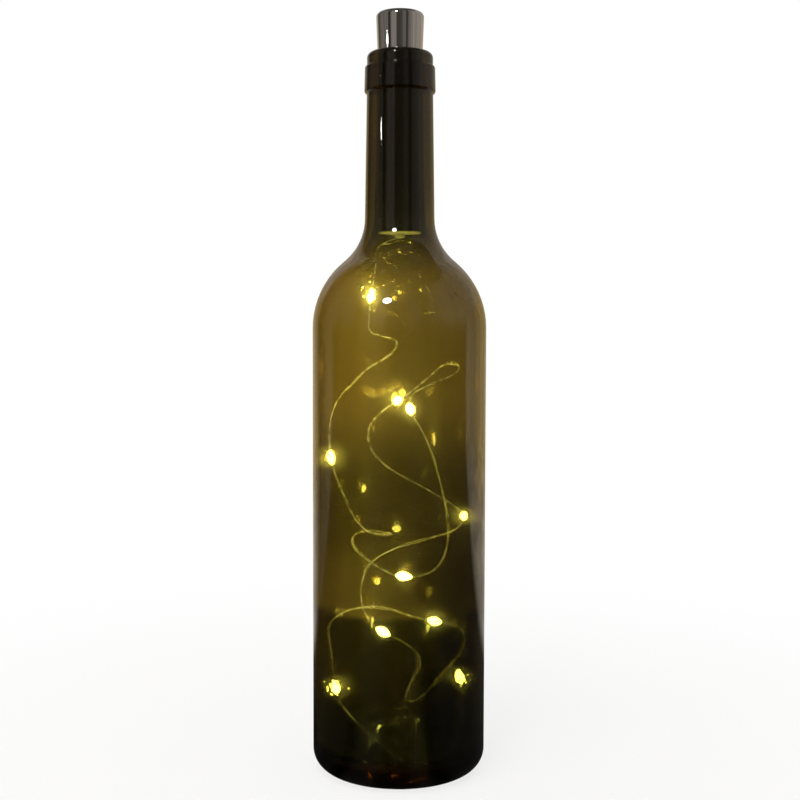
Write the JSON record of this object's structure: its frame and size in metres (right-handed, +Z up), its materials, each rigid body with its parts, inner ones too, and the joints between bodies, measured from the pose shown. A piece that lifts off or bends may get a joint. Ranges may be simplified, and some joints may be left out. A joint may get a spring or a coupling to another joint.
{
  "type": "bottle light",
  "caption": "Wine bottle lit from inside by a wire string of lamp drops that hangs from a rechargeable stopper light in its mouth.",
  "frame": {"origin": "centre of the ring that the bottle stands on", "axes": "+Z up along the bottle's axis, picture taken looking along +Y with +X to the right"},
  "size_m": [0.076, 0.076, 0.331],
  "materials": {
    "bottle_glass": "clear gloss, dark olive",
    "chrome": "mirror plated",
    "collar_plastic": "moulded gloss",
    "tube_plastic": "moulded gloss",
    "rubber": "satin",
    "grey_plastic": "moulded satin",
    "foam": "closed-cell foam",
    "steel": "nickel plated",
    "sleeve_film": "shrunk film",
    "washer_card": "plain card",
    "lead_red": "insulation",
    "board": "coated board",
    "chip_black": "moulded",
    "ceramic": "fired",
    "gold": "plated",
    "copper_wire": "enamelled copper",
    "resin": "clear resin",
    "lamp_light": "lit chip"
  },
  "bodies": {
    "bottle": {"bottle": "bottle_glass"},
    "stopper": {"collar": "collar_plastic", "mouth_rings": "rubber", "cap_ring": "rubber", "battery_tube": "tube_plastic", "end_cap": "grey_plastic", "wire_bushing": "grey_plastic", "wire_clamp": "grey_plastic", "cell_pad": "foam", "cell_can": "steel", "cell_sleeve": "sleeve_film", "cell_washer": "washer_card", "cell_button": "steel", "positive_strip": "steel", "negative_strip": "steel", "inner_leads": "lead_red", "circuit_board": "board", "charge_chip": "chip_black", "board_resistors": "chip_black", "board_capacitors": "ceramic", "plug_shell": "steel", "plug_tongue": "grey_plastic", "plug_contacts": "gold", "switch_base": "chip_black", "string_wire_1": "copper_wire"},
    "cap": {"cap": "chrome"},
    "switch_button": {"switch_button": "grey_plastic"},
    "lamp_1": {"lamp_drop_1": "resin", "lamp_chip_1": "lamp_light", "string_wire_2": "copper_wire"},
    "lamp_2": {"lamp_drop_2": "resin", "lamp_chip_2": "lamp_light", "string_wire_3": "copper_wire"},
    "lower_string": {"lamp_drop_3": "resin", "lamp_drop_4": "resin", "lamp_drop_5": "resin", "lamp_drop_6": "resin", "lamp_drop_7": "resin", "lamp_drop_8": "resin", "lamp_drop_9": "resin", "lamp_drop_10": "resin", "lamp_chips_lower": "lamp_light", "string_wire_4": "copper_wire", "string_wire_5": "copper_wire", "string_wire_6": "copper_wire", "string_wire_7": "copper_wire", "string_wire_8": "copper_wire", "string_wire_9": "copper_wire", "string_wire_10": "copper_wire"}
  },
  "joints": [
    {"name": "stopper_lift", "type": "slide", "parent": "bottle", "child": "stopper", "axis": [0, 0, 1], "range_m": [0, 0.082]},
    {"name": "cap_pull", "type": "slide", "parent": "stopper", "child": "cap", "axis": [0, 0, 1], "range_m": [0, 0.016]},
    {"name": "button_press", "type": "slide", "parent": "stopper", "child": "switch_button", "axis": [0, 0, -1], "range_m": [0, 0.0004], "stiffness_N_per_m": 4000},
    {"name": "string_rise_1", "type": "slide", "parent": "stopper", "child": "lamp_1", "axis": [0.6412, 0.285, -0.7125], "range_m": [0, 0.01405], "deforming": ["string_wire_1"]},
    {"name": "string_rise_2", "type": "slide", "parent": "lamp_1", "child": "lamp_2", "axis": [-0.1133, -0.1511, -0.982], "range_m": [0, 0.02649], "deforming": ["string_wire_2"]},
    {"name": "string_rest", "type": "slide", "parent": "lamp_2", "child": "lower_string", "axis": [-0.1293, 0, -0.9916], "range_m": [0, 0.0464], "deforming": ["string_wire_3"]}
  ],
  "couplings": [
    {"joint": "string_rise_1", "follows": "stopper_lift", "ratio": 0.17117},
    {"joint": "string_rise_2", "follows": "stopper_lift", "ratio": 0.32288},
    {"joint": "string_rest", "follows": "stopper_lift", "ratio": 0.56573}
  ]
}
